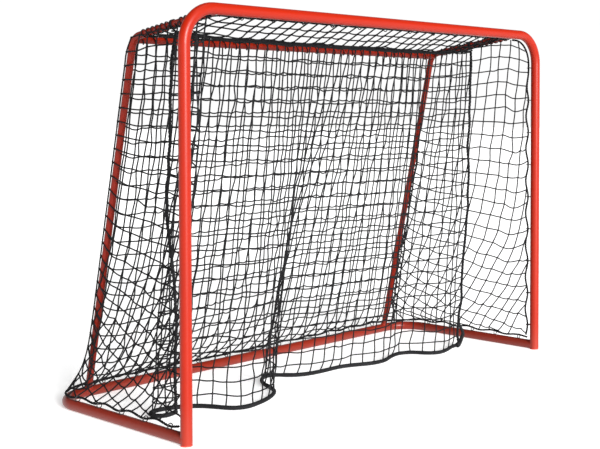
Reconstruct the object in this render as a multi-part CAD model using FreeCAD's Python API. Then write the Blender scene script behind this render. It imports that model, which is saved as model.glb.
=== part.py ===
"""Free-standing steel goal with a net and a loose inner drop net.

+X runs along the width, +Y from the mouth to the back, +Z up.
The origin is the centre of the footprint, on the floor. Millimetres.
"""
import FreeCAD
import Part
import math
import os

V = FreeCAD.Vector

# driving dimensions -------------------------------------------------------
INNER_WIDTH = 1600.0        # between the posts
INNER_HEIGHT = 1150.0       # floor to the underside of the crossbar
FRONT_R = 16.5              # front tube, outer radius
BASE_R = 16.0               # base tube
SIDE_R = 11.0               # side tubes and rear top bar
FRONT_WALL = 2.0
BASE_WALL = 2.0
SIDE_WALL = 1.5
FRONT_BEND = 100.0          # bend radii, on the centre lines
BASE_BEND = 112.0
SIDE_BEND = 45.0
BASE_DEPTH = 645.0          # front tube centre to rear rail centre
TOP_DEPTH = 395.0           # front tube centre to the corner of the side tubes
TOP_CORNER_Z = 1107.0       # height of that corner
SIDE_INSET = 125.0          # post centre to side tube centre
CAP_FLANGE = 3.0
CAP_PLUG = 15.0

EYE_R = 8.0                 # net eye, centre line of its wire
EYE_WIRE = 1.5
EYE_OFFSET = 7.5            # tube surface to eye centre
EYE_PITCH = 120.0

ROPE_R = 3.75               # border ropes
TIE_WIRE = 1.5              # lacing and hanging loops
TIE_GAP = 0.8               # bar surface to loop
NET_T = 1.6                 # thickness that stands for the netting

DROP_DEPTH = 205.0          # hinge line behind the front plane
HEAD_R = 3.5
SIDE_ROPE_R = 3.0
HEM_R = 6.5
HEM_BORE = 4.7
HEM_CORE = 4.5

# derived ------------------------------------------------------------------
POST_X = INNER_WIDTH / 2 + FRONT_R
BAR_Z = INNER_HEIGHT + FRONT_R
SIDE_X = POST_X - SIDE_INSET
REAR_EYE_LEAN = 18.0        # degrees that the rear rail's eyes lean back, to pass behind the stays
REAR_EYE_REACH = (BASE_R + EYE_OFFSET) * math.sin(math.radians(REAR_EYE_LEAN)) + EYE_R + EYE_WIRE
FRONT_Y = -(FRONT_R + BASE_DEPTH + REAR_EYE_REACH) / 2 + FRONT_R
STAY_SLOPE = (BASE_DEPTH - TOP_DEPTH) / (TOP_CORNER_Z - BASE_R)


def at(x, depth, z):
    """A point by its distance behind the plane of the front frame."""
    return V(x, FRONT_Y + depth, z)


def mirrored(points):
    return [V(-p.x, p.y, p.z) for p in points]


def rounded_path(points, radii):
    """Straight runs joined by tangent arcs. One radius for each inner point."""
    edges = []
    start = points[0]
    for before, corner, after, radius in zip(points, points[1:], points[2:], radii):
        back = (before - corner).normalize()
        ahead = (after - corner).normalize()
        half = back.getAngle(ahead) / 2
        reach = radius / math.tan(half)
        middle = (back + ahead).normalize()
        enter = corner + back * reach
        leave = corner + ahead * reach
        crown = corner + middle * (radius / math.sin(half) - radius)
        edges.append(Part.LineSegment(start, enter).toShape())
        edges.append(Part.Arc(enter, crown, leave).toShape())
        start = leave
    edges.append(Part.LineSegment(start, points[-1]).toShape())
    return Part.Wire(edges)


def rod(points, radii, radius):
    """A round bar along a rounded path."""
    path = rounded_path(points, radii)
    heading = points[1] - points[0]
    section = Part.Wire(Part.makeCircle(radius, points[0], heading))
    return path.makePipeShell([section], True, False)


def tube(points, radii, radius, wall):
    return rod(points, radii, radius).cut(rod(points, radii, radius - wall))


def line_rod(start, end, radius):
    run = end - start
    return Part.makeCylinder(radius, run.Length, start, run)


def cord_radii(points):
    """The largest tangent arcs that the runs of a limp cord leave room for."""
    radii = []
    for before, corner, after in zip(points, points[1:], points[2:]):
        arriving = corner - before
        leaving = after - corner
        turn = arriving.getAngle(leaving)
        shorter = min(arriving.Length, leaving.Length)
        radii.append(0.45 * shorter / math.tan(turn / 2))
    return radii


def sheet(rows, thickness):
    """A thin closed solid from a grid of points and an offset vector."""
    front = rows
    back = [[p + thickness for p in row] for row in rows]
    faces = []

    def triangle(a, b, c):
        faces.append(Part.Face(Part.makePolygon([a, b, c, a])))

    def quad(a, b, c, d):
        triangle(a, b, c)
        triangle(a, c, d)

    for layer in (front, back):
        for low, high in zip(layer, layer[1:]):
            for i in range(len(low) - 1):
                quad(low[i], low[i + 1], high[i + 1], high[i])
    rim_front = (front[0] + [row[-1] for row in front[1:]] + front[-1][-2::-1]
                 + [row[0] for row in front[-2:0:-1]])
    rim_back = [p + thickness for p in rim_front]
    for i in range(len(rim_front)):
        j = (i + 1) % len(rim_front)
        quad(rim_front[i], rim_front[j], rim_back[j], rim_back[i])
    shell = Part.makeShell(faces)
    solid = Part.makeSolid(shell)
    if solid.Volume < 0:
        solid.reverse()
    return solid


def blend_rows(edge_a, edge_b, steps):
    """Rows of points between two edge curves with the same number of points."""
    return [[a + (b - a) * (k / steps) for k in range(steps + 1)] for a, b in zip(edge_a, edge_b)]


# steel frame --------------------------------------------------------------
def front_points(foot_z):
    return [at(-POST_X, 0, foot_z), at(-POST_X, 0, BAR_Z), at(POST_X, 0, BAR_Z), at(POST_X, 0, foot_z)]


def base_points(start_depth, rear_depth, z):
    return [at(-POST_X, start_depth, z), at(-POST_X, rear_depth, z),
            at(POST_X, rear_depth, z), at(POST_X, start_depth, z)]


def side_points():
    return [at(-SIDE_X, 0, BAR_Z), at(-SIDE_X, TOP_DEPTH, TOP_CORNER_Z), at(-SIDE_X, BASE_DEPTH, BASE_R)]


def side_bar_z(depth):
    """Height of the top side bar's centre line."""
    return BAR_Z + (TOP_CORNER_Z - BAR_Z) * depth / TOP_DEPTH


def stay_depth(z):
    """Depth of the rear stay's centre line."""
    return TOP_DEPTH + (TOP_CORNER_Z - z) * STAY_SLOPE


def rear_bar_centre():
    """The middle of the side tube's bend, where the rear top bar is welded on."""
    before, corner, after = side_points()
    back = (before - corner).normalize()
    ahead = (after - corner).normalize()
    half = back.getAngle(ahead) / 2
    return corner + (back + ahead).normalize() * (SIDE_BEND / math.sin(half) - SIDE_BEND)


def post_plug(x):
    flange = line_rod(at(x, 0, 0), at(x, 0, CAP_FLANGE), FRONT_R)
    plug = line_rod(at(x, 0, CAP_FLANGE), at(x, 0, CAP_FLANGE + CAP_PLUG), FRONT_R - FRONT_WALL)
    return flange.fuse(plug).removeSplitter()


def eye(on_axis, outward, along, tube_r):
    """A wire ring standing on a tube, coped to the tube's surface."""
    centre = on_axis + outward * (tube_r + EYE_OFFSET)
    ring = Part.makeTorus(EYE_R, EYE_WIRE, centre, along)
    reach = along * (4 * EYE_WIRE)
    return ring.cut(line_rod(on_axis - reach, on_axis + reach, tube_r))


def spaced(low, high, pitch):
    """Evenly spaced places between two limits, about one pitch apart."""
    count = round((high - low) / pitch)
    return [low + (high - low) * i / count for i in range(count + 1)]


def post_eyes(side):
    outward = V(-side * 0.30, 0.95, 0).normalize()
    places = spaced(90, 1050, EYE_PITCH)
    return [eye(at(side * POST_X, 0, z), outward, V(0, 0, 1), FRONT_R) for z in places]


CROSSBAR_EYE = V(0, 0.76, -0.65)     # the way the crossbar's eyes point


def crossbar_eyes():
    places = spaced(-600, 600, EYE_PITCH)
    return [eye(at(x, 0, BAR_Z), CROSSBAR_EYE, V(1, 0, 0), FRONT_R) for x in places]


def rail_eyes(side):
    return [eye(at(side * POST_X, depth, BASE_R), V(0, 0, 1), V(0, 1, 0), BASE_R)
            for depth in spaced(70, 510, EYE_PITCH)]


def rear_rail_eyes():
    lean = math.radians(REAR_EYE_LEAN)
    outward = V(0, math.sin(lean), math.cos(lean))
    return [eye(at(x, BASE_DEPTH, BASE_R), outward, V(1, 0, 0), BASE_R)
            for x in spaced(-630, 630, EYE_PITCH)]


# main net -----------------------------------------------------------------
POST_ROPE_X = POST_X - 8.0
POST_ROPE_DEPTH = 25.0
POST_ROPE_TOP = BAR_Z - 18.0
POST_ROPE_BEND = 86.0
BASE_ROPE_DEPTH = BASE_DEPTH + 9.6
BASE_ROPE_Z = 39.6
ROPE_FOOT_Z = 52.0
NET_FRONT = 35.0            # the netting starts behind the post eyes
NET_LOW = 51.0              # and above the base eyes


def post_rope(side):
    end_x = SIDE_X + SIDE_R + 2
    points = [at(side * POST_ROPE_X, POST_ROPE_DEPTH, ROPE_FOOT_Z),
              at(side * POST_ROPE_X, POST_ROPE_DEPTH, POST_ROPE_TOP),
              at(side * end_x, POST_ROPE_DEPTH, POST_ROPE_TOP)]
    return rod(points, [POST_ROPE_BEND], ROPE_R)


def crossbar_rope():
    end_x = SIDE_X - SIDE_R - 2
    reach = FRONT_R + EYE_OFFSET
    depth = reach * CROSSBAR_EYE.y
    z = BAR_Z + reach * CROSSBAR_EYE.z
    return line_rod(at(-end_x, depth, z), at(end_x, depth, z), ROPE_R)


def base_rope():
    return rod(base_points(30, BASE_ROPE_DEPTH, BASE_ROPE_Z), [BASE_BEND] * 2, ROPE_R)


def loops(centres, along):
    """Cord loops round a side bar or the rear bar, at these centres."""
    return [Part.makeTorus(SIDE_R + TIE_GAP + TIE_WIRE, TIE_WIRE, c, along) for c in centres]


def loops_round_side_bar(side, depths):
    slope = V(0, TOP_DEPTH, TOP_CORNER_Z - BAR_Z)
    return loops([at(side * SIDE_X, depth, side_bar_z(depth)) for depth in depths], slope)


def side_bar_loops(side):
    return loops_round_side_bar(side, spaced(55, 165, 37) + spaced(245, 330, 37))


def hanging_loop(side):
    return loops_round_side_bar(side, [DROP_DEPTH])


def rear_bar_loops():
    centre = rear_bar_centre()
    return loops([V(x, centre.y, centre.z) for x in spaced(-630, 630, 70)], V(1, 0, 0))


def rear_bar_rope():
    centre = rear_bar_centre()
    z = centre.z + SIDE_R + TIE_GAP + 2 * TIE_WIRE + ROPE_R + 0.3
    return line_rod(V(-660, centre.y, z), V(660, centre.y, z), ROPE_R)


def left_net():
    """From the post, round the frame's bend, back to the side tube and the base corner."""
    hub_x = -POST_ROPE_X + POST_ROPE_BEND
    hub_z = POST_ROPE_TOP - POST_ROPE_BEND
    front = [at(-POST_ROPE_X, NET_FRONT, NET_LOW + (hub_z - NET_LOW) * k / 5) for k in range(6)]
    for degrees in (30, 60):
        turn = math.radians(degrees)
        bend_x = hub_x - POST_ROPE_BEND * math.cos(turn)
        bend_z = hub_z + POST_ROPE_BEND * math.sin(turn)
        front.append(at(bend_x, NET_FRONT, bend_z))
    front.append(at(-SIDE_X - 22, NET_FRONT, POST_ROPE_TOP - 2))
    side_x = -SIDE_X - SIDE_R - 3
    rear = [at(-790, 622, NET_LOW), at(side_x - 14, stay_depth(240), 240)]
    for z in (430, 640, 850, 990, 1040, 1068):
        rear.append(at(side_x, stay_depth(z), z))
    rear.append(at(side_x, TOP_DEPTH - 8, TOP_CORNER_Z - 7))
    return sheet(blend_rows(front, rear, 4), V(-NET_T, 0, 0))


def back_net():
    top = rear_bar_centre().z - SIDE_R
    offset = SIDE_R + 2.5
    upright = SIDE_X + SIDE_R
    rows = []
    for z, half in ((NET_LOW, 784), (150, 735), (280, upright), (700, upright), (top, upright)):
        rows.append([at(-half + 2 * half * k / 6, stay_depth(z) + offset, z) for k in range(7)])
    return sheet(rows, V(0, NET_T, 0))


def top_net():
    half = SIDE_X - SIDE_R - 3 * TIE_WIRE
    rear = rear_bar_centre()
    rear_depth = rear.y - FRONT_Y - SIDE_R - 3 * TIE_WIRE
    rows = []
    for depth, z in ((NET_FRONT, POST_ROPE_TOP - 2), (rear_depth, rear.z + 2)):
        rows.append([at(-half, depth, z), at(half, depth, z)])
    return sheet(rows, V(0, 0, NET_T))


# drop net -----------------------------------------------------------------
HEAD_Z = side_bar_z(DROP_DEPTH) - SIDE_R - TIE_GAP - 2 * TIE_WIRE - HEAD_R - 0.6
EDGE_X = SIDE_X - 6
HEM_Z = HEM_R + 0.9
PANEL_LOW = 2 * HEM_R + 2

# where the hem lies on the floor: across the width, and behind the front plane
HEM_ROUTE = [(-640, 272), (-672, 258), (-702, 268), (-712, 300), (-690, 326), (-650, 328), (-600, 310),
             (-553, 276), (-526, 226), (-506, 178), (-466, 156), (-415, 165), (-355, 184), (-292, 222),
             (-262, 266), (-247, 320), (-214, 376), (-168, 409), (-128, 397), (-102, 352), (-52, 322),
             (20, 316), (90, 319), (150, 301), (208, 268), (275, 264), (340, 296), (398, 309), (446, 282),
             (466, 232), (506, 201), (570, 216), (622, 238), (664, 240)]

# the panel's lower edge: the hem's route with its end fold and its deep fold opened out
PANEL_ROUTE = [(-685, 240), (-660, 300), (-600, 308), (-553, 276), (-526, 226), (-500, 178), (-466, 158),
               (-415, 165), (-355, 184), (-300, 222), (-268, 266), (-244, 320), (-214, 376), (-168, 407),
               (-128, 394), (-98, 352), (-52, 322), (20, 316), (90, 319), (150, 301), (208, 268),
               (275, 264), (340, 296), (398, 306), (446, 282), (472, 232), (510, 203), (570, 216),
               (626, 240), (684, 236)]


def hem_points():
    return [at(x, depth, HEM_Z) for x, depth in HEM_ROUTE]


def drop_panel():
    top_z = HEAD_Z - HEAD_R - 0.3
    low_x = PANEL_ROUTE[0][0]
    span = PANEL_ROUTE[-1][0] - low_x
    rows = []
    for k in range(4):
        rise = k / 3
        row = []
        for x, depth in PANEL_ROUTE:
            top_x = -EDGE_X + (x - low_x) / span * 2 * EDGE_X
            low = at(x, depth, PANEL_LOW)
            row.append(low + (at(top_x, DROP_DEPTH, top_z) - low) * rise)
        rows.append(row)
    return sheet(rows, V(0, NET_T, 0))


def head_rope():
    return line_rod(at(-SIDE_X - 9, DROP_DEPTH, HEAD_Z), at(SIDE_X + 9, DROP_DEPTH, HEAD_Z), HEAD_R)


def side_rope(side):
    gap = SIDE_ROPE_R + 0.6
    top = at(side * (EDGE_X + gap), DROP_DEPTH, HEAD_Z - HEAD_R - 0.3)
    low = at(side * (EDGE_X + gap - 1), 238, 2 * HEM_R + 3)
    return line_rod(top, low, SIDE_ROPE_R)


def hem_sleeve():
    points = hem_points()
    radii = cord_radii(points)
    length = rounded_path(points, radii).Length
    sleeve = rod(points, radii, HEM_R)
    swept = length * math.pi * HEM_R ** 2
    print("hem length", round(length), "volume ratio", round(sleeve.Volume / swept, 4))
    return sleeve.cut(rod(points, radii, HEM_BORE))


def hem_core():
    points = hem_points()
    return rod(points, cord_radii(points), HEM_CORE)


def write_parts():
    front_solid = rod(front_points(0), [FRONT_BEND] * 2, FRONT_R)
    base_line = base_points(0, BASE_DEPTH, BASE_R)
    base_solid = rod(base_line, [BASE_BEND] * 2, BASE_R)
    left_line = side_points()
    right_line = mirrored(left_line)
    bends = [SIDE_BEND]
    left_solid = rod(left_line, bends, SIDE_R)
    right_solid = rod(right_line, bends, SIDE_R)
    rear = rear_bar_centre()
    rear_ends = V(-SIDE_X, rear.y, rear.z), V(SIDE_X, rear.y, rear.z)
    rear_bar = line_rod(*rear_ends, SIDE_R)
    rear_bore = line_rod(*rear_ends, SIDE_R - SIDE_WALL)
    welded_on = [front_solid, base_solid]

    parts = {
        "front_frame": tube(front_points(CAP_FLANGE), [FRONT_BEND] * 2, FRONT_R, FRONT_WALL),
        "base_frame": tube(base_line, [BASE_BEND] * 2, BASE_R, BASE_WALL).cut(front_solid),
        "left_side_tube": tube(left_line, bends, SIDE_R, SIDE_WALL).cut(welded_on),
        "right_side_tube": tube(right_line, bends, SIDE_R, SIDE_WALL).cut(welded_on),
        "rear_top_bar": rear_bar.cut(rear_bore).cut([left_solid, right_solid]),
        "left_post_plug": post_plug(-POST_X),
        "right_post_plug": post_plug(POST_X),
        "net_eyes_left_post": post_eyes(-1),
        "net_eyes_right_post": post_eyes(1),
        "net_eyes_crossbar": crossbar_eyes(),
        "net_eyes_left_rail": rail_eyes(-1),
        "net_eyes_right_rail": rail_eyes(1),
        "net_eyes_rear_rail": rear_rail_eyes(),
        "net_top": top_net(),
        "net_back": back_net(),
        "net_left": left_net(),
        "net_right": left_net().mirror(V(0, 0, 0), V(1, 0, 0)),
        "left_post_rope": post_rope(-1),
        "right_post_rope": post_rope(1),
        "crossbar_rope": crossbar_rope(),
        "base_border_rope": base_rope(),
        "rear_bar_rope": rear_bar_rope(),
        "left_bar_lacing": side_bar_loops(-1),
        "right_bar_lacing": side_bar_loops(1),
        "rear_bar_lacing": rear_bar_loops(),
        "hanging_loop_left": hanging_loop(-1),
        "hanging_loop_right": hanging_loop(1),
        "drop_net_panel": drop_panel(),
        "drop_net_head_rope": head_rope(),
        "drop_net_left_rope": side_rope(-1),
        "drop_net_right_rope": side_rope(1),
        "drop_net_hem_sleeve": hem_sleeve(),
        "drop_net_hem_weight": hem_core(),
    }
    os.makedirs("parts", exist_ok=True)
    for name, shape in parts.items():
        if isinstance(shape, list):
            shape = Part.makeCompound(shape)
        print(name, shape.isValid(), len(shape.Solids), round(shape.Volume))
        shape.exportStep(os.path.join("parts", name + ".step"))


write_parts()
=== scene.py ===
"""Looks of the steel goal: painted tubes, twine nets, ropes and the loose drop net.

Metres, in the CAD frame: +X along the width, +Y from the mouth to the back, +Z up.
"""

import math

import bpy
import numpy as np
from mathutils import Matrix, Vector


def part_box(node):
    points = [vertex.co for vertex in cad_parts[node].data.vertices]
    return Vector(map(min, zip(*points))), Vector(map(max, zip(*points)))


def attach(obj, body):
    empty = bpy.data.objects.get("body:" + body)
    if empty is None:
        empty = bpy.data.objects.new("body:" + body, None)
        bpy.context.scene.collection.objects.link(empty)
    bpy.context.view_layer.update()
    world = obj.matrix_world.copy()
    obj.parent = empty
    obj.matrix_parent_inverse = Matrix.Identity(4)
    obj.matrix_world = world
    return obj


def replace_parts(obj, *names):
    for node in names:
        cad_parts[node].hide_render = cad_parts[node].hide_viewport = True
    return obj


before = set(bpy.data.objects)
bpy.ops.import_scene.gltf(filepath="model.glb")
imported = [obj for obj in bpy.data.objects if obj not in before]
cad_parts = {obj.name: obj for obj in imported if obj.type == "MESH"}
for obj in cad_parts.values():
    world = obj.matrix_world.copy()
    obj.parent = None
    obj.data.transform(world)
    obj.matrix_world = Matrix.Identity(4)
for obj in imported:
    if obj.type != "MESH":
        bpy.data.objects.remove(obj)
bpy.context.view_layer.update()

# sizes read from the frame ------------------------------------------------
front_low, front_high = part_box("front_frame")
FRONT_R = (front_high[1] - front_low[1]) / 2
FRONT_Y = (front_high[1] + front_low[1]) / 2
POST_X = front_high[0] - FRONT_R
BAR_Z = front_high[2] - FRONT_R
base_low, base_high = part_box("base_frame")
BASE_R = (base_high[2] - base_low[2]) / 2
REAR_Y = base_high[1] - BASE_R
side_low, side_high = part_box("left_side_tube")
SIDE_R = (side_high[0] - side_low[0]) / 2
SIDE_X = -(side_high[0] + side_low[0]) / 2
rear_low, rear_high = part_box("rear_top_bar")
REAR_BAR_Y = (rear_low[1] + rear_high[1]) / 2
REAR_BAR_Z = (rear_low[2] + rear_high[2]) / 2
head_low, head_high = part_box("drop_net_head_rope")
HEAD_Y = (head_low[1] + head_high[1]) / 2
HEAD_Z = (head_low[2] + head_high[2]) / 2
HEAD_R = (head_high[2] - head_low[2]) / 2
rope_low, rope_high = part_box("base_border_rope")
ROPE_R = (rope_high[2] - rope_low[2]) / 2
BASE_ROPE_Z = (rope_high[2] + rope_low[2]) / 2
BASE_ROPE_Y = rope_high[1] - ROPE_R
post_rope_low, post_rope_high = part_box("left_post_rope")
POST_ROPE_X = -(post_rope_low[0] + ROPE_R)
POST_ROPE_Y = (post_rope_low[1] + post_rope_high[1]) / 2
POST_ROPE_TOP = post_rope_high[2] - ROPE_R
POST_ROPE_FOOT = post_rope_low[2]
bar_rope_low, bar_rope_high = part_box("crossbar_rope")
BAR_ROPE_Y = (bar_rope_low[1] + bar_rope_high[1]) / 2
BAR_ROPE_Z = (bar_rope_low[2] + bar_rope_high[2]) / 2

# sizes that the frame's boxes don't give
TOP_DEPTH = 0.395           # front plane to the corner of the side tubes' centre lines
TOP_CORNER_Z = 1.107
BASE_BEND = 0.112
POST_ROPE_BEND = 0.086
MESH = 0.045                # the net's mesh, knot to knot
TWINE_R = 0.0023
TWINE_SIDES = 5
KNOT_R = TWINE_R * 1.75
ROW_SPAN = 4                # points drawn from knot to knot along a row
COLUMN_SPAN = 3             # and along a column
SPIRAL_R = 0.0017           # lacing cord
LACING_PITCH = 0.022
LACED_SPANS = ((0.045, 0.185, 0.4), (0.225, 0.350, 2.1))   # depth from, depth to, phase
BAR_ROPE_R = 0.003
WELD_BEAD = 0.0022
REAR_ROPE_R = 0.0028
EYE_PITCH = 0.120
HEM_R = 0.0065
HEM_Z = HEM_R + 0.0009
UP = np.array([0.0, 0.0, 1.0])
rng = np.random.default_rng(7)


def at(x, depth, z):
    return np.array([x, FRONT_Y + depth, z])


def bar_z(depth):
    """Height of a side bar's centre line."""
    return BAR_Z + (TOP_CORNER_Z - BAR_Z) * depth / TOP_DEPTH


def stay_depth(z):
    """Depth of a rear stay's centre line."""
    return TOP_DEPTH + (TOP_CORNER_Z - z) * (REAR_Y - FRONT_Y - TOP_DEPTH) / (TOP_CORNER_Z - BASE_R)


# node materials -----------------------------------------------------------
class Nodes:
    """A material under construction, with short ways to add and link nodes."""

    def __init__(self, name):
        self.material = bpy.data.materials.new(name)
        self.material.use_nodes = True
        self.tree = self.material.node_tree
        self.shader = next(n for n in self.tree.nodes if n.type == "BSDF_PRINCIPLED")

    def add(self, kind, **values):
        node = self.tree.nodes.new(kind)
        for key, value in values.items():
            setattr(node, key, value)
        return node

    def link(self, source, target):
        self.tree.links.new(source, target)

    def noise(self, scale, detail, coordinates, roughness=0.55):
        node = self.add("ShaderNodeTexNoise")
        node.inputs["Scale"].default_value = scale
        node.inputs["Detail"].default_value = detail
        node.inputs["Roughness"].default_value = roughness
        self.link(coordinates, node.inputs["Vector"])
        return node.outputs["Fac"]

    def ramp(self, factor, stops):
        node = self.add("ShaderNodeValToRGB")
        elements = node.color_ramp.elements
        while len(elements) < len(stops):
            elements.new(0.5)
        for element, (place, colour) in zip(elements, stops):
            element.position = place
            element.color = (*colour, 1.0)
        self.link(factor, node.inputs["Fac"])
        return node.outputs["Color"]

    def math(self, operation, first, second=None):
        node = self.add("ShaderNodeMath", operation=operation)
        for socket, value in zip(node.inputs, (first, second)):
            if value is None:
                continue
            if isinstance(value, (int, float)):
                socket.default_value = value
            else:
                self.link(value, socket)
        return node.outputs[0]

    def mix(self, factor, first, second):
        node = self.add("ShaderNodeMix", data_type="RGBA")
        for key, value in (("Factor", factor), ("A", first), ("B", second)):
            socket = next(s for s in node.inputs if s.name == key and s.enabled)
            if isinstance(value, tuple):
                socket.default_value = (*value, 1.0)
            elif isinstance(value, (int, float)):
                socket.default_value = value
            else:
                self.link(value, socket)
        return next(s for s in node.outputs if s.enabled)

    def span(self, value, low, high, to_low, to_high):
        node = self.add("ShaderNodeMapRange")
        for socket, number in zip(node.inputs[1:5], (low, high, to_low, to_high)):
            socket.default_value = number
        self.link(value, node.inputs[0])
        return node.outputs[0]

    def bump(self, height, strength, distance, below=None):
        node = self.add("ShaderNodeBump")
        node.inputs["Strength"].default_value = strength
        node.inputs["Distance"].default_value = distance
        self.link(height, node.inputs["Height"])
        if below is not None:
            self.link(below, node.inputs["Normal"])
        return node.outputs["Normal"]


def paint_material(name, colour, dark):
    """Orange-red powder coat: orange peel, faint dust low down, small scuffs."""
    m = Nodes(name)
    place = m.add("ShaderNodeTexCoord").outputs["Object"]
    cloud = m.noise(5.0, 3.0, place)
    speck = m.noise(260.0, 2.0, place)
    scuff = m.noise(38.0, 8.0, place, 0.75)
    base = m.mix(m.span(cloud, 0.35, 0.65, 0.0, 0.35), colour, dark)
    marks = m.span(scuff, 0.66, 0.74, 0.0, 0.45)
    worn = m.mix(marks, base, (0.13, 0.008, 0.004))
    height = m.add("ShaderNodeSeparateXYZ")
    m.link(place, height.inputs[0])
    low = m.span(height.outputs["Z"], 0.0, 0.12, 0.22, 0.0)
    dust = m.mix(m.math("MULTIPLY", low, cloud), worn, (0.22, 0.13, 0.10))
    m.link(dust, m.shader.inputs["Base Color"])
    gloss = m.math("ADD", m.span(cloud, 0.3, 0.7, 0.30, 0.40), m.math("MULTIPLY", marks, 0.3))
    m.link(gloss, m.shader.inputs["Roughness"])
    m.shader.inputs["Coat Weight"].default_value = 0.05
    m.shader.inputs["Coat Roughness"].default_value = 0.22
    m.shader.inputs["Specular IOR Level"].default_value = 0.22
    peel = m.bump(speck, 0.12, 0.0006)
    m.link(m.bump(scuff, 0.05, 0.0008, peel), m.shader.inputs["Normal"])
    return m.material


def cord_material(name, colour, worn, pitch, turns, strength):
    """Braided black cord. UV runs along the cord in metres and once round it."""
    m = Nodes(name)
    coordinates = m.add("ShaderNodeTexCoord")
    split = m.add("ShaderNodeSeparateXYZ")
    m.link(coordinates.outputs["UV"], split.inputs[0])
    along = m.math("MULTIPLY", split.outputs["X"], 2 * math.pi / pitch)
    around = m.math("MULTIPLY", split.outputs["Y"], 2 * math.pi * turns)
    left = m.math("SINE", m.math("ADD", along, around))
    right = m.math("SINE", m.math("SUBTRACT", along, around))
    braid = m.math("MAXIMUM", left, right)
    fuzz = m.noise(900.0, 3.0, coordinates.outputs["Object"])
    patch = m.noise(14.0, 4.0, coordinates.outputs["Object"])
    tone = m.mix(m.span(patch, 0.4, 0.75, 0.0, 0.6), colour, worn)
    # Painted shade: the cord's colour is darker in the grooves between the braid's strands.
    groove_painted_shade = m.mix(m.span(braid, -1.0, 1.0, 0.35, 0.0), tone, (0.004, 0.004, 0.004))
    m.link(groove_painted_shade, m.shader.inputs["Base Color"])
    m.link(m.span(fuzz, 0.3, 0.7, 0.62, 0.82), m.shader.inputs["Roughness"])
    m.shader.inputs["Specular IOR Level"].default_value = 0.15
    weave = m.bump(braid, strength, 0.0008)
    m.link(m.bump(fuzz, 0.25, 0.0004, weave), m.shader.inputs["Normal"])
    return m.material


def plain_material(name, colour, other, roughness, grain):
    m = Nodes(name)
    place = m.add("ShaderNodeTexCoord").outputs["Object"]
    cloud = m.noise(grain, 4.0, place)
    m.link(m.mix(m.span(cloud, 0.35, 0.65, 0.0, 1.0), colour, other), m.shader.inputs["Base Color"])
    m.link(m.span(cloud, 0.3, 0.7, roughness, roughness + 0.12), m.shader.inputs["Roughness"])
    m.link(m.bump(cloud, 0.1, 0.0006), m.shader.inputs["Normal"])
    return m.material


RED = (0.285, 0.0098, 0.0004)
RED_DARK = (0.240, 0.0075, 0.0003)
# Painted shade: a darker copy of the frame's red for the base, side tubes and rear bar, standing in for
# the lesser light that falls on them.
SHADED_RED = (0.190, 0.0076, 0.0005)
SHADED_RED_DARK = (0.158, 0.0060, 0.0004)
paint = paint_material("frame_paint", RED, RED_DARK)
rear_painted_shade_paint = paint_material("frame_paint_painted_shade", SHADED_RED, SHADED_RED_DARK)
plug_plastic = plain_material("plug_plastic", (0.60, 0.052, 0.030), (0.50, 0.042, 0.026), 0.45, 60.0)
lead = plain_material("lead_cord", (0.16, 0.16, 0.18), (0.10, 0.10, 0.11), 0.55, 90.0)
eye_steel = plain_material("eye_steel", (0.010, 0.009, 0.009), (0.02, 0.018, 0.018), 0.45, 120.0)
twine = cord_material("net_twine", (0.006, 0.006, 0.007), (0.014, 0.014, 0.015), 0.0045, 2, 0.5)
rope = cord_material("rope", (0.006, 0.006, 0.007), (0.014, 0.014, 0.016), 0.006, 3, 0.6)
woven = cord_material("hem_sleeve", (0.007, 0.007, 0.008), (0.016, 0.016, 0.018), 0.005, 6, 0.7)


# mesh tools ---------------------------------------------------------------
def lengths(points):
    """Distance along a line at each of its points."""
    steps = np.linalg.norm(np.diff(points, axis=0), axis=1)
    return np.concatenate([[0.0], np.cumsum(steps)])


def spread(points, count):
    """The same line, as evenly spaced points."""
    points = np.asarray(points, float)
    run = lengths(points)
    places = np.linspace(0.0, run[-1], count)
    return np.stack([np.interp(places, run, points[:, k]) for k in range(3)], axis=1)


def curved(points, per_span):
    """A Catmull-Rom line through the points."""
    points = np.asarray(points, float)
    padded = np.vstack([2 * points[0] - points[1], points, 2 * points[-1] - points[-2]])
    t = np.linspace(0.0, 1.0, per_span, endpoint=False)[:, None]
    spans = []
    for a, b, c, d in zip(padded, padded[1:], padded[2:], padded[3:]):
        spans.append(0.5 * (2 * b + (c - a) * t + (2 * a - 5 * b + 4 * c - d) * t ** 2
                            + (3 * b - a - 3 * c + d) * t ** 3))
    return np.vstack(spans + [points[-1:]])


def frames(points):
    """Two directions across a line at each point, turning as little as they can."""
    tangents = np.gradient(points, axis=0)
    tangents /= np.linalg.norm(tangents, axis=1)[:, None] + 1e-12
    start = np.cross(tangents[0], UP)
    if np.linalg.norm(start) < 0.1:
        start = np.cross(tangents[0], [1.0, 0.0, 0.0])
    side = start / np.linalg.norm(start)
    sides = np.empty_like(points)
    for k, tangent in enumerate(tangents):
        side = side - tangent * (side @ tangent)
        side = side / np.linalg.norm(side)
        sides[k] = side
    return sides, np.cross(tangents, sides)


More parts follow.
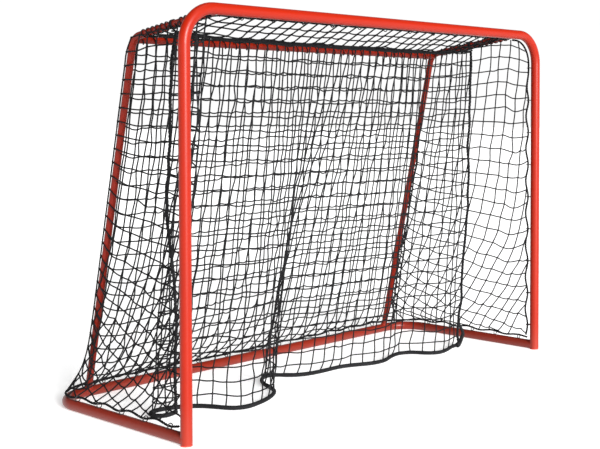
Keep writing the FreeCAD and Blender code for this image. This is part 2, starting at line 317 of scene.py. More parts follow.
class MeshParts:
    """Gathers tubes and knots into one mesh with UVs."""

    def __init__(self):
        self.points = []
        self.faces = []
        self.uvs = []
        self.count = 0

    def tube(self, line, radius, sides):
        line = np.asarray(line, float)
        across, over = frames(line)
        angles = np.linspace(0.0, 2 * math.pi, sides, endpoint=False)
        radii = np.broadcast_to(np.asarray(radius, float), (len(line),) + np.shape(radius)[1:])
        if radii.ndim == 1:
            radii = radii[:, None]
        ring = (across[:, None] * np.cos(angles)[None, :, None]
                + over[:, None] * np.sin(angles)[None, :, None])
        rings = line[:, None] + ring * radii[:, :, None]
        first = self.count
        self.points.append(rings.reshape(-1, 3))
        self.count += rings.shape[0] * sides
        run = lengths(line)
        for i in range(len(line) - 1):
            low = first + i * sides
            for k in range(sides):
                n = (k + 1) % sides
                self.faces.append((low + k, low + n, low + sides + n, low + sides + k))
                v0, v1 = k / sides, (k + 1) / sides
                self.uvs += [(run[i], v0), (run[i], v1), (run[i + 1], v1), (run[i + 1], v0)]
        last = first + (len(line) - 1) * sides
        self.faces.append(tuple(first + k for k in reversed(range(sides))))
        self.faces.append(tuple(last + k for k in range(sides)))
        self.uvs += [(0.0, 0.5)] * sides + [(run[-1], 0.5)] * sides

    def knot(self, centre, radius):
        """A small lump: a six-sided double pyramid of 12 faces."""
        first = self.count
        ring = [(math.cos(k * math.pi / 3), math.sin(k * math.pi / 3), 0.0) for k in range(6)]
        shape = np.array([(0, 0, 1.0)] + ring + [(0, 0, -1.0)]) * radius
        self.points.append(np.asarray(centre) + shape)
        self.count += len(shape)
        for k in range(6):
            n = (k + 1) % 6
            self.faces.append((first, first + 1 + k, first + 1 + n))
            self.faces.append((first + 7, first + 1 + n, first + 1 + k))
        self.uvs += [(0.0, 0.0), (0.001, 0.2), (0.001, 0.4)] * 12

    def build(self, name, material, body):
        mesh = bpy.data.meshes.new(name)
        mesh.from_pydata(np.vstack(self.points).tolist(), [], self.faces)
        layer = mesh.uv_layers.new(name="UVMap")
        layer.data.foreach_set("uv", np.array(self.uvs, np.float32).ravel())
        mesh.polygons.foreach_set("use_smooth", [True] * len(mesh.polygons))
        mesh.materials.append(material)
        piece = bpy.data.objects.new(name, mesh)
        bpy.context.collection.objects.link(piece)
        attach(piece, body)
        return piece


# net tools ----------------------------------------------------------------
CROWDED = 0.6               # share of a mesh below which two knots push each other apart
PUSH = 0.15                 # how much of the missing length is made up each time
DAMPING = 0.9
PULLS = 6                   # times the twines are pulled to length in each step


def pull(knots, free, axis, odd, length):
    """Shortens the twines of one direction that are too long, and eases crowded knots apart."""
    line = np.moveaxis(knots, axis, 0)
    loose = np.moveaxis(free, axis, 0)
    pairs = (line.shape[0] - odd) // 2
    first = line[odd:odd + 2 * pairs:2]
    second = line[odd + 1:odd + 2 * pairs:2]
    first_free = loose[odd:odd + 2 * pairs:2]
    second_free = loose[odd + 1:odd + 2 * pairs:2]
    gap = second - first
    size = np.linalg.norm(gap, axis=-1, keepdims=True) + 1e-9
    excess = np.maximum(size - length, 0.0) - PUSH * np.maximum(CROWDED * length - size, 0.0)
    share = gap * excess / size / np.maximum(first_free + second_free, 1e-9)
    first += share * first_free
    second -= share * second_free


def hang(knots, pinned, down, across, steps, keep_clear, gravity=0.0004):
    """Lets a slack net settle: its knots fall, its twines keep their length.

    Down holds the longest twine between rows, one for each column, and across the
    longest between columns, one for each row.
    """
    down = np.broadcast_to(down, knots.shape[1:2])[:, None]
    across = np.broadcast_to(across, knots.shape[:1])[:, None]
    free = np.where(pinned, 0.0, 1.0)[..., None]
    knots = knots.copy()
    before = knots.copy()
    for _ in range(steps):
        step = (knots - before) * DAMPING - gravity * UP
        before = knots.copy()
        knots += step * free
        for _ in range(PULLS):
            for axis, length in ((0, down), (1, across)):
                for odd in (0, 1):
                    pull(knots, free, axis, odd, length)
        keep_clear(knots, free)
    return knots


def patch(low, high, left, right):
    """A grid of knots between four edges: rows run along low and high."""
    rows, columns = len(left), len(low)
    u = np.linspace(0.0, 1.0, columns)[None, :, None]
    v = np.linspace(0.0, 1.0, rows)[:, None, None]
    ruled = (1 - v) * low[None] + v * high[None] + (1 - u) * left[:, None] + u * right[:, None]
    corners = ((1 - u) * (1 - v) * low[0] + u * (1 - v) * low[-1]
               + (1 - u) * v * high[0] + u * v * high[-1])
    return ruled - corners


def edges_pinned(shape):
    pinned = np.zeros(shape[:2], bool)
    pinned[0] = pinned[-1] = True
    pinned[:, 0] = pinned[:, -1] = True
    return pinned


def twine_line(knots, length, per_span, droop):
    """One twine through its knots. Where it is slack it droops between them."""
    line = curved(knots, per_span)
    chords = np.linalg.norm(np.diff(knots, axis=0), axis=1)
    slack = droop * rng.uniform(0.1, 1.0, len(chords)) * (chords > CROWDED * length)
    depth = slack * np.sqrt(np.maximum(0.375 * chords * (length - chords), 0.0))
    t = np.arange(per_span) / per_span
    dip = (depth[:, None] * (4 * t * (1 - t))[None]).ravel()
    line[:-1, 2] -= dip
    return line


def add_net(parts, knots, length, droop):
    """Twines both ways through the knots, and a lump at each knot."""
    for row in knots:
        parts.tube(twine_line(row, length, ROW_SPAN, droop), TWINE_R, TWINE_SIDES)
    for j in range(knots.shape[1]):
        parts.tube(curved(knots[:, j], COLUMN_SPAN), TWINE_R, TWINE_SIDES)
    for row in knots:
        for knot in row:
            parts.knot(knot, KNOT_R)


def arc(centre, radius, first, last, across, over, count):
    """Points on an arc, angles in degrees from the direction across towards over."""
    turn = np.radians(np.linspace(first, last, count))[:, None]
    return centre + radius * (np.cos(turn) * across + np.sin(turn) * over)


X_AXIS = np.array([1.0, 0.0, 0.0])
Y_AXIS = np.array([0.0, 1.0, 0.0])


def flipped(points):
    """The same line on the other side, running the other way."""
    return (np.asarray(points) * [-1.0, 1.0, 1.0])[::-1]


def post_line():
    """The left post rope: up the post and round the bend to the side bar."""
    y_depth = POST_ROPE_Y - FRONT_Y
    hub = at(-POST_ROPE_X + POST_ROPE_BEND, y_depth, POST_ROPE_TOP - POST_ROPE_BEND)
    straight = np.linspace(at(-POST_ROPE_X, y_depth, POST_ROPE_FOOT),
                           at(-POST_ROPE_X, y_depth, hub[2]), 30)
    bend = arc(hub, POST_ROPE_BEND, 180, 90, X_AXIS, UP, 13)
    end = at(-SIDE_X - SIDE_R - 0.002, y_depth, POST_ROPE_TOP)
    return np.vstack([straight, bend[1:], end])


POST_LINE_TURN = 36         # the post rope's point half way round the bend


def base_line(height):
    """The base rope's route over the left rail, the rear rail and the right rail."""
    hub = np.array([-POST_X + BASE_BEND, BASE_ROPE_Y - BASE_BEND, height])
    start = at(-POST_X, 0.032, height)
    left = np.linspace(start, hub - BASE_BEND * X_AXIS, 16)
    bend = arc(hub, BASE_BEND, 180, 90, X_AXIS, Y_AXIS, 12)
    half = np.vstack([left, bend[1:], [[0.0, BASE_ROPE_Y, height]]])
    return np.vstack([half, flipped(half)[1:]])


def top_line():
    """Where the side and back nets are laced: side bar, rear bar, side bar."""
    off = SIDE_R + TWINE_R + 0.001
    start = post_line()[POST_LINE_TURN:] + [0.0, 0.003, 0.0]
    bar = [at(-SIDE_X - off, depth, bar_z(depth)) for depth in np.linspace(0.045, TOP_DEPTH - 0.035, 8)]
    corner = [at(-SIDE_X - off * 0.8, TOP_DEPTH - 0.005, REAR_BAR_Z + 0.006),
              at(-SIDE_X + 0.004, REAR_BAR_Y - FRONT_Y + off, REAR_BAR_Z)]
    half = np.vstack([start, bar, corner, [[0.0, REAR_BAR_Y + off, REAR_BAR_Z]]])
    return np.vstack([half, flipped(half)[1:]])


ROPE_WAVE = 0.0045          # half of how far a border rope stands off between two eyes


def wavy_post_rope():
    """The left post rope, drawn towards each eye and bowed off the post between them."""
    line = spread(post_line(), 160)
    along = lengths(line)
    wave = 1 - np.cos(2 * math.pi * (along - 0.038) / EYE_PITCH)
    inward = ROPE_WAVE * wave * np.clip((1.0 - along) / 0.1, 0, 1)
    return line + inward[:, None] * [0.8, 0.6, 0.0]


def wavy_base_rope():
    """The base rope, lifted between its eyes and tight round the two rear bends."""
    line = spread(base_line(BASE_ROPE_Z), 400)
    along = lengths(line)
    wave = 1 - np.cos(2 * math.pi * (along - 0.040) / EYE_PITCH)
    arch = ROPE_WAVE * wave * (0.6 + 0.4 * np.sin(3.1 * along + 1.0))
    in_bend = np.exp(-((np.abs(along - along[-1] / 2) - 0.78) / 0.11) ** 2)
    line[:, 2] += arch * (1 - in_bend) - 0.0025 * in_bend
    return line


POST_ROPE_LINE = wavy_post_rope()
BASE_ROPE_LINE = wavy_base_rope()


def nearest(points, line):
    """For each point, the line's point that is nearest to it."""
    gaps = np.linalg.norm(np.asarray(points)[:, None] - line[None], axis=2)
    return line[np.argmin(gaps, axis=1)]


WALL_COLUMNS = 66
WALL_ROWS = 27
CORNER = 13                 # the column that runs down each rear stay
FLARE = 0.045               # how quickly the net leaves the stay for the base corner, low down
JITTER = 0.0018             # scatter of the settled knots


def wall_net():
    """One net round the left side, the back and the right side."""
    reach = SIDE_R + TWINE_R + 0.0008
    base = base_line(BASE_ROPE_Z + 0.003)
    top = top_line()
    base_turn = int(np.argmin(np.abs(base[:, 0] + POST_X - 0.3 * BASE_BEND)
                              + np.abs(base[:, 1] - base[:, 1].max() + 0.3 * BASE_BEND)))
    top_turn = int(np.argmin(np.abs(top[:, 0] + SIDE_X + reach * 0.7) + np.abs(top[:, 1] - REAR_BAR_Y)))
    edges = []
    for line, turn in ((base, base_turn), (top, top_turn)):
        side = spread(line[:turn + 1], CORNER + 1)
        back = spread(line[turn:len(line) - turn], WALL_COLUMNS - 2 * CORNER)
        edges.append(np.vstack([side[:-1], back, flipped(side)[1:]]))
    low, high = edges
    left = spread(post_line()[:POST_LINE_TURN + 1] + [0.0, 0.003, 0.0], WALL_ROWS)
    knots = patch(low, high, left, left * [-1.0, 1.0, 1.0])
    knots[1:-1, 1:-1] += rng.normal(0.0, 0.002, knots[1:-1, 1:-1].shape)

    height = np.linspace(low[CORNER, 2], high[CORNER, 2], WALL_ROWS)
    on_stay = np.stack([np.full_like(height, -SIDE_X - reach * 0.75),
                        FRONT_Y + stay_depth(height) + reach * 0.75, height], axis=1)
    away = np.exp(-(height - height[0]) / FLARE)[:, None]
    held = on_stay + (low[CORNER] - on_stay[0]) * away
    held[-1] = high[CORNER]
    knots[:, CORNER] = held
    knots[:, -1 - CORNER] = held * [-1.0, 1.0, 1.0]
    far_corner = WALL_COLUMNS - 1 - CORNER
    for first, last in ((0, CORNER), (CORNER, far_corner), (far_corner, WALL_COLUMNS - 1)):
        share = np.linspace(0.0, 1.0, last - first + 1)[None, :, None]
        start, end = knots[:, first:first + 1], knots[:, last:last + 1]
        straight = start + (end - start) * share
        near_foot = np.exp(-(height - height[0]) / FLARE)[:, None, None]
        near_top = np.exp(-(height[-1] - height) / FLARE)[:, None, None]
        bulge = (knots[:1, first:last + 1] - straight[:1]) * near_foot
        bulge += (knots[-1:, first:last + 1] - straight[-1:]) * near_top
        knots[:, first:last + 1] = straight + bulge
    knots[1:-1, 1:-1] += rng.normal(0.0, 0.0015, knots[1:-1, 1:-1].shape)
    pinned = edges_pinned(knots.shape)
    pinned[:, [CORNER, -1 - CORNER]] = True
    knots[:, CORNER] = held
    knots[:, -1 - CORNER] = held * [-1.0, 1.0, 1.0]
    down = 1.002 * lengths_down(knots) / (WALL_ROWS - 1)

    def clear(points, free):
        points[..., 1] = np.minimum(points[..., 1], base_high[1] - 0.004)

    knots = hang(knots, pinned, down, MESH, 160, clear, 0.0003)
    loose = ~pinned[..., None]
    knots += rng.normal(0.0, JITTER, knots.shape) * loose
    knots[:, 0] = nearest(knots[:, 0], POST_ROPE_LINE)
    knots[:, -1] = nearest(knots[:, -1], POST_ROPE_LINE * [-1.0, 1.0, 1.0])
    knots[0] = nearest(knots[0], BASE_ROPE_LINE)
    return knots


def lengths_down(knots):
    """The length of each column."""
    return np.linalg.norm(np.diff(knots, axis=0), axis=2).sum(axis=0)


# side nets, hung on the skew: rows drop towards the posts, columns lean back low down
LEFT_SKEW = (0.7, 5.5, 5.0)     # rows: at the top, and more at the foot; columns: at the foot
RIGHT_SKEW = (0.6, 5.8, 4.2)
TOP_SPREAD = 1.33               # columns stand further apart at the top than the surface's
SHORT_END = 0.3                 # a part of a mesh at the edge that is too short to be a span of its own
SKEW_MARGIN = 8                 # rows and columns beyond the surface that the slant brings into it


def skewed(surface, skew):
    """Knots and twines of a side net, in the surface's (row, column) numbers.

    Column 0 is on the post and the last one on the stay, where each row goes on into the back net.
    """
    rows, columns = surface.shape[0] - 1, surface.shape[1] - 1
    top, foot, lean = skew
    q, p = np.meshgrid(np.arange(rows + SKEW_MARGIN), np.arange(-SKEW_MARGIN, columns + 1), indexing="ij")
    row, column = q.astype(float), p.astype(float)
    drop = top + foot * np.clip(1 - q / rows, 0, 1) ** 1.7
    for _ in range(30):
        row = q - drop * (1 - column / columns)
        height = np.clip(row, 0, rows) / rows
        column = (columns - (columns - p) * (1 + (TOP_SPREAD - 1) * height)
                  + lean * np.clip(1 - 2 * height, 0, 1) ** 2)
    jitter = rng.normal(0.0, 0.05, row.shape + (2,))
    row = row + jitter[..., 0] * (column < columns - 0.5)
    column = column + jitter[..., 1] * (column < columns - 0.5)

    def place(r, c):
        r, c = np.clip(r, 0, rows - 1e-6), np.clip(c, 0, columns - 1e-6)
        i, j = r.astype(int), c.astype(int)
        u, v = (r - i)[..., None], (c - j)[..., None]
        return ((1 - u) * (1 - v) * surface[i, j] + u * (1 - v) * surface[i + 1, j]
                + (1 - u) * v * surface[i, j + 1] + u * v * surface[i + 1, j + 1])

    inside = (row >= 0) & (row <= rows) & (column >= 0) & (column <= columns + 1e-6)
    points = place(row, column)
    twines = []
    for is_row in (True, False):
        for k in range(row.shape[0] if is_row else row.shape[1]):
            r, c, ok = [(a[k] if is_row else a[:, k]) for a in (row, column, inside)]
            held = np.flatnonzero(ok)
            if len(held) < 2:
                continue
            first, last = held[0], held[-1]
            line = list(place(r[first:last + 1], c[first:last + 1]))
            for end, beyond, front in ((first, first - 1, True), (last, last + 1, False)):
                if not 0 <= beyond < len(r):
                    continue
                steps = np.linspace(0, 1, 21)
                rr, cc = r[end] + (r[beyond] - r[end]) * steps, c[end] + (c[beyond] - c[end]) * steps
                good = (rr >= 0) & (rr <= rows) & (cc >= 0) & (cc <= columns)
                edge = steps[np.flatnonzero(good)[-1]] if good.any() else 0.0
                tip = place(np.array([r[end] + (r[beyond] - r[end]) * edge]),
                            np.array([c[end] + (c[beyond] - c[end]) * edge]))[0]
                if edge < SHORT_END:
                    line[0 if front else -1] = tip
                elif front:
                    line.insert(0, tip)
                else:
                    line.append(tip)
            if lengths(np.array(line))[-1] > MESH:
                twines.append((np.array(line), is_row))
    return twines, points[inside]


TOP_COLUMNS = 33
FRONT_ROWS = 3              # rows of the top net in front of the head rope
REAR_ROWS = 5
HEAD_DIP = 0.021            # how far the head rope sags in the middle
HEAD_LEAN = 0.044           # and how far the top net draws it forward


def head_point(share):
    """The head rope's centre line. Share runs from -1 to 1 across the width."""
    slack = 1.0 - np.asarray(share) ** 4
    wave = 0.0015 * np.sin(19 * np.asarray(share))
    return np.stack([share * (SIDE_X + 0.008), HEAD_Y - HEAD_LEAN * slack,
                     HEAD_Z - HEAD_DIP * slack + wave], axis=-1)


def top_net():
    """From the crossbar over the drop net's head rope to the rear bar."""
    half = SIDE_X - SIDE_R - 0.004
    share = np.linspace(-1.0, 1.0, TOP_COLUMNS)
    lean = np.clip(6 * (1 - np.abs(share)), 0, 1)
    front = np.stack([share * half, np.full_like(share, BAR_ROPE_Y + 0.004),
                      np.full_like(share, BAR_ROPE_Z)], axis=1)
    middle = head_point(share * half / (SIDE_X + 0.008)) + [0.0, 0.0, HEAD_R + TWINE_R]
    middle[:, 0] += 0.030 * lean
    back = np.stack([share * half + 0.020 * lean, np.full_like(share, REAR_BAR_Y - 0.006),
                     np.full_like(share, REAR_BAR_Z + SIDE_R + 0.002)], axis=1)
    steps = [front + (middle - front) * (k / FRONT_ROWS) for k in range(FRONT_ROWS)]
    steps += [middle + (back - middle) * (k / REAR_ROWS) for k in range(REAR_ROWS + 1)]
    knots = np.array(steps)
    for row in knots[1:-1]:
        for end in (0, -1):
            row[end, 2] = bar_z(row[end, 1] - FRONT_Y) - 0.004
    knots[1:-1, 1:-1] += rng.normal(0.0, 0.0022, knots[1:-1, 1:-1].shape)
    pinned = edges_pinned(knots.shape)
    pinned[FRONT_ROWS] = True
    down = 1.003 * lengths_down(knots) / (len(knots) - 1)

    lowest = knots[..., 2] - np.where(np.arange(len(knots)) > FRONT_ROWS, 0.003, 0.012)[:, None]

    def clear(points, free):
        points[..., 2] = np.maximum(points[..., 2], lowest)

    return hang(knots, pinned, down, MESH, 120, clear, 0.0003)


# the drop net -------------------------------------------------------------
HEM_ROUTE = [(-0.640, 0.272), (-0.672, 0.258), (-0.702, 0.268), (-0.712, 0.300), (-0.690, 0.326),
             (-0.650, 0.328), (-0.600, 0.310), (-0.553, 0.276), (-0.526, 0.226), (-0.506, 0.178),
             (-0.466, 0.156), (-0.415, 0.165), (-0.355, 0.184), (-0.292, 0.222), (-0.262, 0.266),
             (-0.247, 0.320), (-0.214, 0.376), (-0.168, 0.409), (-0.128, 0.397), (-0.102, 0.352),
             (-0.052, 0.322), (0.020, 0.316), (0.090, 0.319), (0.150, 0.301), (0.208, 0.268),
             (0.275, 0.264), (0.340, 0.296), (0.398, 0.309), (0.446, 0.282), (0.466, 0.232),
             (0.506, 0.201), (0.570, 0.216), (0.622, 0.238), (0.664, 0.240)]
EDGE_ROPE_R = 0.0052
LEFT_BOW = 0.022            # how far the drop net's side ropes bow outwards
RIGHT_BOW = 0.020
REARWARD = 0.25             # share of the plumb shift towards the back, which leaves room to swing
PLUMB = 1.00                # how nearly its columns hang plumb just above the floor
DROP_COLUMNS = 40
DROP_ROWS = 26


def route_curve(name, points):
    """An object with one NURBS spline that has the given points as its control points."""
    curve = bpy.data.curves.new(name, "CURVE")
    curve.dimensions = "3D"
    curve.resolution_u = 12
    spline = curve.splines.new("NURBS")
    spline.points.add(len(points) - 1)
    for control, point in zip(spline.points, points):
        control.co = (*point, 1.0)
    spline.order_u = 3
    spline.use_endpoint_u = True
    holder = bpy.data.objects.new(name, curve)
    bpy.context.collection.objects.link(holder)
    return holder


def smooth_route(points, name):
    """Points along that spline."""
    holder = route_curve(name, points)
    curve = holder.data
    bpy.context.view_layer.update()
    mesh = bpy.data.meshes.new_from_object(holder)
    line = np.array([v.co[:] for v in mesh.vertices])
    bpy.data.meshes.remove(mesh)
    bpy.data.objects.remove(holder)
    bpy.data.curves.remove(curve)
    return line


hem_line = smooth_route([at(x, depth, HEM_Z) for x, depth in HEM_ROUTE], "hem_route")


def drop_net():
    low = spread(hem_line, DROP_COLUMNS) + [0.0, 0.0, HEM_R * 0.8]
    share = np.linspace(-1.0, 1.0, DROP_COLUMNS) * (SIDE_X - 0.006) / (SIDE_X + 0.008)
    high = head_point(share) - [0.0, 0.0, HEAD_R * 0.7]
    left = np.linspace(low[0], high[0], DROP_ROWS)
    right = np.linspace(low[-1], high[-1], DROP_ROWS)
    knots = patch(low, high, left, right)
    knots[1:-1, 1:-1] += rng.normal(0.0, 0.002, knots[1:-1, 1:-1].shape)
    pinned = np.zeros(knots.shape[:2], bool)
    pinned[0] = pinned[-1] = True

    def clear(points, free):
        points[..., 2] = np.maximum(points[..., 2], TWINE_R + 0.002)
        points[..., 0] = np.clip(points[..., 0], -0.74, 0.74)

    down = 1.001 * np.linalg.norm(high - low, axis=1) / (DROP_ROWS - 1)
    knots = hang(knots, pinned, down, MESH * 1.01, 24, clear, 0.0002)
    height = np.linspace(0.0, 1.0, DROP_ROWS)
    plumb = -PLUMB * height * (1 - height) ** 2
    shift = plumb[:, None, None] * (high - low)[None, :, :2]
    shift[..., 1] *= np.where(shift[..., 1] > 0, REARWARD, 1.0)
    knots[..., :2] += shift
    bow = np.sin(math.pi * height) ** 2 + 0.2 * np.sin(5 * math.pi * height)
    fade = np.exp(-np.arange(DROP_COLUMNS) / 3.0)
    knots[..., 0] += bow[:, None] * (RIGHT_BOW * fade[::-1] - LEFT_BOW * fade)[None]
    knots[1:-1] += rng.normal(0.0, JITTER, knots[1:-1].shape)
    return knots


# rope tools ---------------------------------------------------------------
def twisted_rope(name, line, radius, body, node=None, strands=3):
    """Laid rope: strands that wind round the line."""
    line = spread(line, max(12, int(lengths(np.asarray(line))[-1] / (radius * 0.9))))
    across, over = frames(line)
    turn = lengths(line) / (radius * 7.0) * 2 * math.pi
    parts = MeshParts()
    for k in range(strands):
        angle = (turn + k * 2 * math.pi / strands)[:, None]
        parts.tube(line + radius * 0.5 * (np.cos(angle) * across + np.sin(angle) * over), radius * 0.52, 6)
    piece = parts.build(name, rope, body)
    if node:
        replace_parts(piece, node)
    return piece


def spiral(parts, start, end, tube_r, pitch, phase):
    """Lacing wound round a bar."""
    run = np.linalg.norm(end - start)
    count = int(run / pitch * 14)
    line = np.linspace(start, end, count)
    across, over = frames(line)
    wobble = 0.12 * np.sin(np.linspace(0, 23, count) + phase)
    turn = (np.linspace(0.0, run / pitch, count) * 2 * math.pi + phase + wobble)[:, None]
    reach = tube_r + SPIRAL_R + 0.0004
    parts.tube(line + reach * (np.cos(turn) * across + np.sin(turn) * over), SPIRAL_R, 6)


# frame finishes -----------------------------------------------------------
def finish_node(name, material):
    """Gives a shown CAD node its material and smooth shading."""
    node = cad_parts[name]
    node.data.materials.clear()
    node.data.materials.append(material)
    node.data.polygons.foreach_set("use_smooth", [True] * len(node.data.polygons))
    split = node.modifiers.new("edges", "EDGE_SPLIT")
    split.split_angle = math.radians(40)
    return node


finish_node("front_frame", paint)
# Painted shade: the base, the side tubes and the rear bar get the darker copy of the red, which stands in
# for the shade on them.
for name in ("base_frame", "left_side_tube", "right_side_tube", "rear_top_bar"):
    finish_node(name, rear_painted_shade_paint)
for name in ("left_post_plug", "right_post_plug"):
    finish_node(name, plug_plastic)
for name in [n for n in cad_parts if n.startswith("net_eyes_")]:
    finish_node(name, eye_steel)


def weld_bead(parts, centre, axis, radius, bead, lean=0.0, lean_to=UP, ripple=34):
    """A rippled weld round a joint. Lean lifts the ring towards a direction, as on a saddle joint."""
    axis = np.asarray(axis) / np.linalg.norm(axis)
    first = np.cross(axis, [0.31, 0.9, 0.17])
    first /= np.linalg.norm(first)
    second = np.cross(axis, first)
    turn = np.linspace(0.0, 2 * math.pi, 97)[:, None]
    around = np.cos(turn) * first + np.sin(turn) * second
    saddle = (around @ np.asarray(lean_to))[:, None] ** 2
    line = centre + radius * around + axis * lean * (saddle - 0.5)
    size = bead * (1.0 + 0.16 * np.abs(np.sin(turn * ripple / 2)))
    parts.tube(line, size, 8)


BAR_SLOPE = at(0, TOP_DEPTH, TOP_CORNER_Z) - at(0, 0, BAR_Z)
welds = MeshParts()
for side in (-1, 1):
    weld_bead(welds, at(side * POST_X, FRONT_R - 0.004, BASE_R), Y_AXIS, BASE_R - 0.0017,
              WELD_BEAD, -0.010, X_AXIS)
    weld_bead(welds, at(side * SIDE_X, FRONT_R - 0.002, bar_z(FRONT_R)), BAR_SLOPE, SIDE_R,
              WELD_BEAD, -0.005, UP)
    foot = at(side * SIDE_X, REAR_Y - FRONT_Y, BASE_R)
    stay = at(side * SIDE_X, TOP_DEPTH, TOP_CORNER_Z) - foot
    stay /= np.linalg.norm(stay)
    weld_bead(welds, foot + stay * (BASE_R - 0.001), stay, SIDE_R, WELD_BEAD, -0.005, Y_AXIS)
    weld_bead(welds, np.array([side * (SIDE_X - SIDE_R + 0.002), REAR_BAR_Y, REAR_BAR_Z]), X_AXIS,
              SIDE_R, WELD_BEAD, 0.006, UP)
welds.build("frame_welds", paint, "goal_frame")

# nets ---------------------------------------------------------------------
wall = wall_net()
parts = MeshParts()
add_net(parts, wall[:, CORNER:WALL_COLUMNS - CORNER], MESH, 0.5)
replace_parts(parts.build("net_back_twine", twine, "goal_frame"), "net_back")
for name, surface, skew in (("net_left", wall[:, :CORNER + 1], LEFT_SKEW),
                            ("net_right", wall[:, :-CORNER - 2:-1], RIGHT_SKEW)):
    twines, knots = skewed(surface, skew)
    parts = MeshParts()
    for line, is_row in twines:
        drawn = twine_line(line, MESH, ROW_SPAN, 0.5) if is_row else curved(line, COLUMN_SPAN)
        parts.tube(drawn, TWINE_R, TWINE_SIDES)
    for knot in knots:
        parts.knot(knot, KNOT_R)
    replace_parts(parts.build(name + "_twine", twine, "goal_frame"), name)

parts = MeshParts()
add_net(parts, top_net(), MESH, 0.5)
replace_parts(parts.build("net_top_twine", twine, "goal_frame"), "net_top")

drop = drop_net()
parts = MeshParts()
add_net(parts, drop, MESH, 0.35)
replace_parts(parts.build("drop_net_twine", twine, "drop_net"), "drop_net_panel")

# ropes --------------------------------------------------------------------
twisted_rope("left_post_rope_laid", POST_ROPE_LINE, ROPE_R, "goal_frame", "left_post_rope")
twisted_rope("right_post_rope_laid", flipped(POST_ROPE_LINE), ROPE_R, "goal_frame",
             "right_post_rope")
bar_end = SIDE_X - SIDE_R - 0.002
tucked = BAR_ROPE_Z + 0.002
twisted_rope("crossbar_rope_laid", [[-bar_end, BAR_ROPE_Y, tucked], [bar_end, BAR_ROPE_Y, tucked]],
             BAR_ROPE_R, "goal_frame", "crossbar_rope")
twisted_rope("base_rope_laid", BASE_ROPE_LINE, ROPE_R, "goal_frame", "base_border_rope")
rear_rope_low, rear_rope_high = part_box("rear_bar_rope")
rear_rope_y = (rear_rope_low[1] + rear_rope_high[1]) / 2
rear_rope_z = (rear_rope_low[2] + rear_rope_high[2]) / 2
rear_rope_ends = [[corner[0], rear_rope_y, rear_rope_z] for corner in (rear_rope_low, rear_rope_high)]
twisted_rope("rear_rope_laid", rear_rope_ends, REAR_ROPE_R, "goal_frame", "rear_bar_rope")

for name, side in (("left", -1), ("right", 1)):
    parts = MeshParts()
    for first, last, phase in LACED_SPANS:
        spiral(parts, at(side * SIDE_X, first, bar_z(first)), at(side * SIDE_X, last, bar_z(last)),
               SIDE_R, LACING_PITCH, phase)
    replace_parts(parts.build(f"{name}_bar_spiral", rope, "goal_frame"), f"{name}_bar_lacing")
    parts = MeshParts()
    slope = BAR_SLOPE / np.linalg.norm(BAR_SLOPE)
    centre = at(side * SIDE_X, HEAD_Y - FRONT_Y, bar_z(HEAD_Y - FRONT_Y))
    spiral(parts, centre - slope * 0.006, centre + slope * 0.006, SIDE_R, 0.0042, 0.0)
    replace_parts(parts.build(f"hanging_wrap_{name}", rope, "goal_frame"), f"hanging_loop_{name}")

parts = MeshParts()
half = SIDE_X - SIDE_R - 0.008
spiral(parts, np.array([-half, REAR_BAR_Y, REAR_BAR_Z]), np.array([half, REAR_BAR_Y, REAR_BAR_Z]),
       SIDE_R, MESH, 0.0)
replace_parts(parts.build("rear_bar_spiral", rope, "goal_frame"), "rear_bar_lacing")

share = np.linspace(-1.0, 1.0, 81)
twisted_rope("drop_net_head_rope_laid", head_point(share), HEAD_R * 0.8, "drop_net",
             "drop_net_head_rope")
for name, column in (("left", 0), ("right", -1)):
    twisted_rope(f"drop_net_{name}_rope_laid", curved(drop[:, column], ROW_SPAN), EDGE_ROPE_R,
                 "drop_net", f"drop_net_{name}_rope")

# the weighted hem ---------------------------------------------------------
hem = route_curve("drop_net_hem", [at(x, depth, HEM_Z) for x, depth in HEM_ROUTE])
hem.data.bevel_depth = HEM_R
hem.data.bevel_resolution = 4
hem.data.use_fill_caps = True
hem.data.materials.append(woven)
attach(hem, "drop_net")
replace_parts(hem, "drop_net_hem_sleeve")
parts = MeshParts()
hem_end = at(*HEM_ROUTE[-1], HEM_Z)
tuck = curved([hem_end + [-0.020, -0.012, 0.003], hem_end + [0.000, -0.003, 0.004],
               hem_end + [0.010, -0.006, 0.022], hem_end + [0.014, -0.010, 0.045], drop[2, -1]], 8)
parts.tube(tuck, np.linspace(0.0100, 0.0050, len(tuck)), 12)
end_tie = parts.build("drop_net_hem_end", woven, "drop_net")
finish_node("drop_net_hem_weight", lead)

# studio -------------------------------------------------------------------
scene = bpy.context.scene
scene.view_settings.view_transform = "Standard"
scene.view_settings.look = "None"

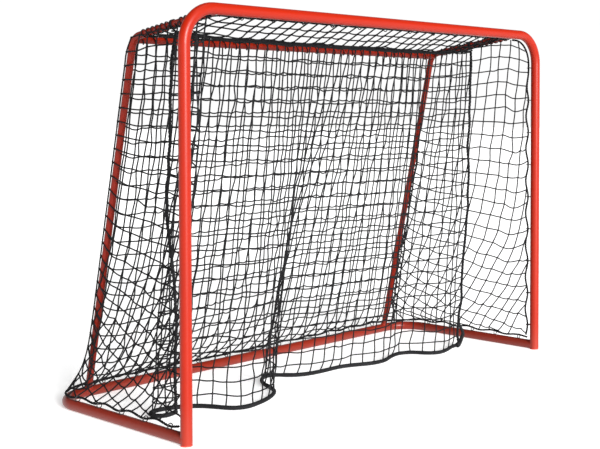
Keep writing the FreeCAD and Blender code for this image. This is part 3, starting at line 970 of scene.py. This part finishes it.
SKY_FROM, SKY_TO = 0.16, 0.42       # how high a direction points where the sky starts and stops fading
HORIZON, ZENITH = 1.02, 0.16        # the sky's strength
world = bpy.data.worlds.new("studio")
scene.world = world
world.use_nodes = True
sky = world.node_tree
background = sky.nodes["Background"]
direction = sky.nodes.new("ShaderNodeTexCoord")
rise = sky.nodes.new("ShaderNodeSeparateXYZ")
fade = sky.nodes.new("ShaderNodeMapRange")
fade.interpolation_type = "SMOOTHSTEP"
for socket, number in zip(fade.inputs[1:5], (SKY_FROM, SKY_TO, HORIZON, ZENITH)):
    socket.default_value = number
sky.links.new(direction.outputs["Generated"], rise.inputs[0])
sky.links.new(rise.outputs["Z"], fade.inputs[0])
sky.links.new(fade.outputs[0], background.inputs["Strength"])
background.inputs["Color"].default_value = (1.0, 1.0, 1.0, 1.0)

FLOOR = 60.0
floor_mesh = bpy.data.meshes.new("floor")
floor_mesh.from_pydata([(-FLOOR, -FLOOR, 0), (FLOOR, -FLOOR, 0), (FLOOR, FLOOR, 0), (-FLOOR, FLOOR, 0)],
                       [], [(0, 1, 2, 3)])
floor = bpy.data.objects.new("floor", floor_mesh)
bpy.context.collection.objects.link(floor)
m = Nodes("floor")
m.shader.inputs["Base Color"].default_value = (0.90, 0.90, 0.90, 1.0)
m.shader.inputs["Roughness"].default_value = 0.9
m.shader.inputs["Specular IOR Level"].default_value = 0.1
m.shader.inputs["Emission Color"].default_value = (1.0, 1.0, 1.0, 1.0)
m.shader.inputs["Emission Strength"].default_value = 0.46
floor_mesh.materials.append(m.material)


def soft_sun(name, azimuth, elevation, spread_degrees, strength):
    """A distant studio light. Azimuth 0 shines along +Y and 90 along -X."""
    lamp = bpy.data.lights.new(name, "SUN")
    lamp.angle = math.radians(spread_degrees)
    lamp.energy = strength
    turn, tilt = math.radians(azimuth), math.radians(elevation)
    back = Vector((math.sin(turn) * math.cos(tilt), -math.cos(turn) * math.cos(tilt), math.sin(tilt)))
    holder = bpy.data.objects.new(name, lamp)
    holder.rotation_euler = back.to_track_quat("Z", "Y").to_euler()
    bpy.context.collection.objects.link(holder)


soft_sun("key", -13.0, 16.0, 26.0, 7.4)
soft_sun("overhead", 20.0, 72.0, 40.0, 0.4)

camera_data = bpy.data.cameras.new("camera")
camera_data.sensor_width = 36.0
camera_data.lens = 67.71
camera_data.shift_x = -0.15
camera_data.shift_y = -0.1242
camera_data.clip_end = 60.0
camera = bpy.data.objects.new("camera", camera_data)
camera.location = at(-2.687, -2.375, 0.891)
camera.rotation_euler = (math.radians(90 - 1.99), 0.0, math.radians(-48.54))
bpy.context.collection.objects.link(camera)
scene.camera = camera
